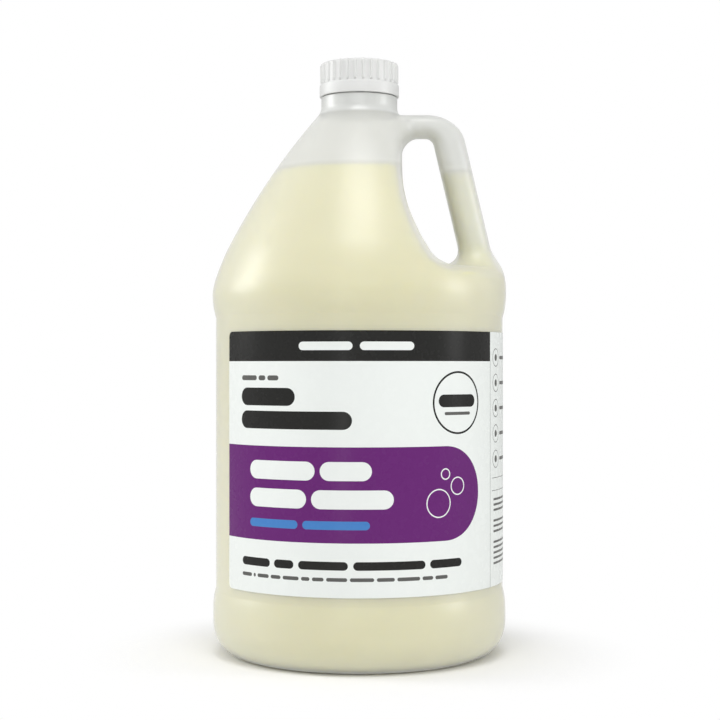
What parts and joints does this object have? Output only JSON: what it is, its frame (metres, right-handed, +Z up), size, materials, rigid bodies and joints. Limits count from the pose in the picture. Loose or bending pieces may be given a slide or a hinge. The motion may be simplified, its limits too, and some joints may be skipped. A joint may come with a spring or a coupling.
{
  "type": "hand soap refill jug",
  "caption": "Round translucent gallon jug with a hollow side handle, sloped shoulder, ribbed screw cap and wrap-around label, filled with pale gel soap.",
  "frame": {"origin": "on the jug's axis, in the plane of its foot", "axes": "+Z up along the jug's axis, +X towards the handle, -Y towards the front of the label"},
  "size_m": [0.154, 0.154, 0.309],
  "materials": {
    "natural_plastic": "satin, milky translucent blow-moulded plastic",
    "soap_gel": "smooth pale yellow gel",
    "white_plastic": "satin white injection-moulded plastic",
    "white_foam": "matte white foam sheet",
    "label_paper": "smooth white label film with printed fields of colour"
  },
  "bodies": {
    "bottle": {"bottle": "natural_plastic", "soap": "soap_gel", "label": "label_paper"},
    "liner": {"cap_liner": "white_foam"},
    "cap": {"cap": "white_plastic"}
  },
  "joints": [
    {"name": "cap_lift", "type": "slide", "parent": "bottle", "child": "liner", "axis": [0, 0, 1], "range_m": [0, 0.0075]},
    {"name": "cap_turn", "type": "hinge", "parent": "liner", "child": "cap", "pos_m": [0, 0, 0.2914], "axis": [0, 0, 1], "range_deg": [0, 630]}
  ],
  "couplings": [
    {"joint": "cap_lift", "follows": "cap_turn", "m_per_rad": 0.0006737}
  ]
}
